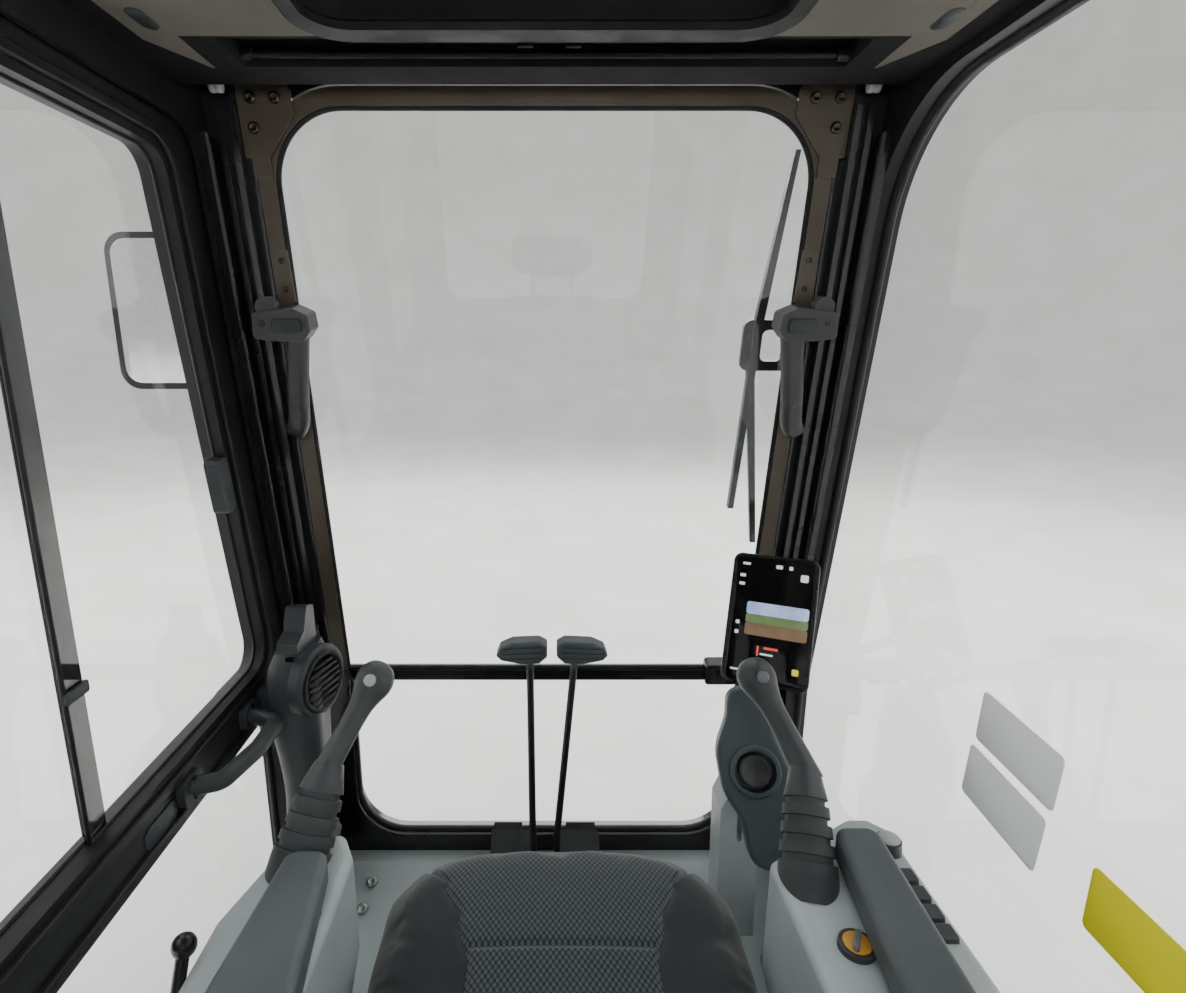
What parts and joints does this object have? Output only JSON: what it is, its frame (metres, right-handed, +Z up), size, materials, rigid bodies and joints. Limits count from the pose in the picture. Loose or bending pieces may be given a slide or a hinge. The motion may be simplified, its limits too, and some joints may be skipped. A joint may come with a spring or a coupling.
{
  "type": "excavator operator cab",
  "caption": "Glazed operator cab of a crawler excavator with a swinging door, roof hatch, sliding seat, tilting left console, joysticks, travel levers and monitor.",
  "frame": {"origin": "centre of the four cab mounting holes on the underside of the base frame", "axes": "+X to the operator's right, +Y forward to the windshield, +Z up"},
  "size_m": [1.304, 1.8415, 1.7383],
  "materials": {
    "black_paint": "gloss",
    "bracket_paint": "satin",
    "dark_plastic": "matt",
    "glass": "clear",
    "headliner": "matt",
    "light_plastic": "matt",
    "mirror": "polished",
    "rubber": "matt",
    "screen": "gloss",
    "seat_cloth": "woven"
  },
  "bodies": {
    "root": {"base_frame": "black_paint", "floor_plate": "light_plastic", "front_frame": "black_paint", "hatch_frame": "black_paint", "hatch_pivots": "black_paint", "hatch_seal": "rubber", "header_trim": "black_paint", "headliner": "headliner", "left_duct": "dark_plastic", "left_quarter_glass": "glass", "left_side_frame": "black_paint", "lower_windshield": "glass", "mirror": "mirror", "mirror_arm": "black_paint", "monitor": "screen", "monitor_mount": "dark_plastic", "pillar_hinges": "black_paint", "pillar_mouldings": "black_paint", "pod_stand": "light_plastic", "rear_glass": "glass", "rear_shelf": "light_plastic", "rear_wall": "black_paint", "right_glass": "glass", "right_pod": "dark_plastic", "right_quarter_glass": "glass", "right_side_frame": "black_paint", "roof_panel": "black_paint", "seat_pedestal": "dark_plastic", "shade_rod": "bracket_paint", "travel_lever_left": "black_paint", "travel_lever_right": "black_paint", "upper_window_frame": "bracket_paint", "upper_windshield": "glass", "window_bar": "black_paint", "window_guides": "black_paint", "window_latches": "dark_plastic", "window_plates": "bracket_paint", "wiper": "dark_plastic"},
    "door": {"door_frame": "black_paint", "door_front_pane": "glass", "door_rear_pane": "glass", "door_lower_glass": "glass", "door_grab_handle": "dark_plastic", "door_latch": "dark_plastic", "door_hinges": "black_paint"},
    "hatch": {"roof_hatch": "black_paint", "hatch_latch": "black_paint"},
    "seat": {"seat_pan": "black_paint", "seat_cushion": "seat_cloth", "right_console": "light_plastic", "console_controls": "dark_plastic", "right_armrest": "dark_plastic", "right_joystick": "rubber"},
    "backrest": {"seat_back": "seat_cloth", "headrest": "seat_cloth"},
    "console_left": {"left_console": "light_plastic", "left_armrest": "dark_plastic", "left_joystick": "rubber", "safety_lever": "black_paint"}
  },
  "joints": [
    {"name": "door_swing", "type": "hinge", "parent": "root", "child": "door", "pos_m": [-0.542, -0.104, 0.9], "axis": [0, 0, 1], "range_deg": [0, 170]},
    {"name": "hatch_swing", "type": "hinge", "parent": "root", "child": "hatch", "pos_m": [0, -0.11, 1.726], "axis": [1, 0, 0], "range_deg": [0, 75]},
    {"name": "seat_slide", "type": "slide", "parent": "root", "child": "seat", "axis": [0, 1, 0], "range_m": [-0.08, 0.08]},
    {"name": "seat_recline", "type": "hinge", "parent": "seat", "child": "backrest", "pos_m": [0.022, 0.06, 0.56], "axis": [1, 0, 0], "range_deg": [-30, 25]},
    {"name": "console_tilt", "type": "hinge", "parent": "seat", "child": "console_left", "pos_m": [-0.32, 0.11, 0.44], "axis": [1, 0, 0], "range_deg": [0, 40]}
  ]
}
